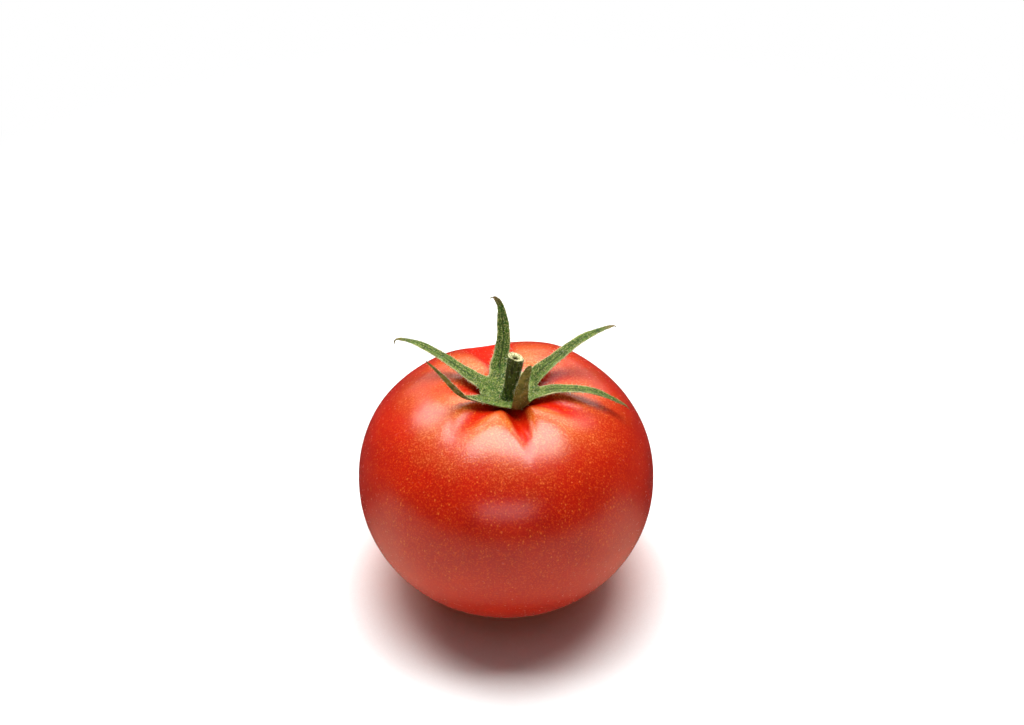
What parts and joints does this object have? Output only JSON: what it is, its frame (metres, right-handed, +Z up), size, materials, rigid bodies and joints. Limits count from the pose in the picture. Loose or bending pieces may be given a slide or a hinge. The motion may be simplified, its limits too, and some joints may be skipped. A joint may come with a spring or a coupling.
{
  "type": "tomato",
  "caption": "Ripe round tomato with its green calyx and cut stem stub, standing on a small flat spot at the blossom end.",
  "frame": {"origin": "middle of the flat spot on which the fruit rests, at the blossom end", "axes": "+Z up through the fruit towards the stem, +X to the side that the stem leans to, -Y towards the side where one sepal stands up in front of the stem"},
  "size_m": [0.07, 0.07, 0.0719],
  "materials": {
    "tomato_skin": "thin waxy skin, satin gloss, ripe red with an orange flush round the stem and fine golden flecks",
    "sepal_green": "matt leaf green, finely haired and grainy above, olive brown below, paler along the edges",
    "stem_green": "matt dark green, finely ridged lengthwise, with a pale cream cut end"
  },
  "bodies": {
    "root": {"fruit": "tomato_skin", "calyx_base": "sepal_green", "stem": "stem_green", "sepal_front": "sepal_green", "sepal_right_lower": "sepal_green", "sepal_right_upper": "sepal_green", "sepal_back": "sepal_green", "sepal_left_upper": "sepal_green", "sepal_left_lower": "sepal_green"}
  },
  "joints": []
}
